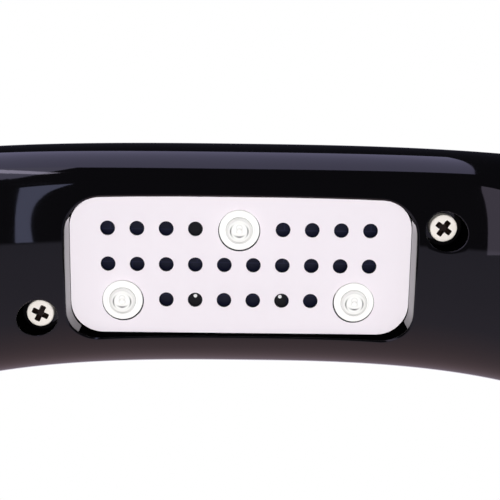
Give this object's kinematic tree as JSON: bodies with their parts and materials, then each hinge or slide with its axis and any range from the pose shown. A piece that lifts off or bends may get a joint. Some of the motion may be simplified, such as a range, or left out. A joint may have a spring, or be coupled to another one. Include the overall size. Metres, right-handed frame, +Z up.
{
  "type": "nail curing lamp",
  "caption": "Small arch-shaped nail lamp that stands on its two ends, with light emitters in a perforated plate under the crown and a push button on top.",
  "frame": {"origin": "on the table, under the middle of the arch", "axes": "+X along the span, +Y across the arch towards the power inlet, +Z up"},
  "size_m": [0.157, 0.0472, 0.05],
  "materials": {
    "black_housing": "high gloss",
    "reflector": "silvery white, satin",
    "lens": "clear moulded silicone",
    "emitter": "satin",
    "screw_nickel": "nickel plate",
    "light_board": "navy solder mask",
    "control_board": "green solder mask",
    "component_black": "moulded",
    "component_metal": "satin",
    "rubber": "matt",
    "button": "satin gloss",
    "wire_red": "insulation",
    "wire_black": "insulation"
  },
  "bodies": {
    "housing": {"lower_shell": "black_housing", "upper_shell": "black_housing", "reflector_plate": "reflector", "light_board": "light_board", "emitter_left": "emitter", "emitter_middle": "emitter", "emitter_right": "emitter", "lens_left": "lens", "lens_middle": "lens", "lens_right": "lens", "chip_resistor_1": "component_metal", "chip_resistor_2": "component_metal", "chip_resistor_3": "component_metal", "shell_screw_left": "screw_nickel", "shell_screw_right": "screw_nickel", "control_screw_left": "screw_nickel", "control_screw_right": "screw_nickel", "light_screw_left": "screw_nickel", "light_screw_right": "screw_nickel", "control_board": "control_board", "power_inlet": "component_metal", "timer_chip": "component_black", "power_transistor": "component_black", "capacitor": "component_metal", "choke_coil": "component_black", "wire_red": "wire_red", "wire_black": "wire_black", "switch_body": "component_black", "foot_left_front": "rubber", "foot_left_back": "rubber", "foot_right_front": "rubber", "foot_right_back": "rubber"},
    "button": {"button_cap": "button", "switch_plunger": "component_black"}
  },
  "joints": [
    {"name": "button_press", "type": "slide", "parent": "housing", "child": "button", "axis": [0, 0, -1], "range_m": [0, 0.0005], "stiffness_N_per_m": 4000}
  ]
}
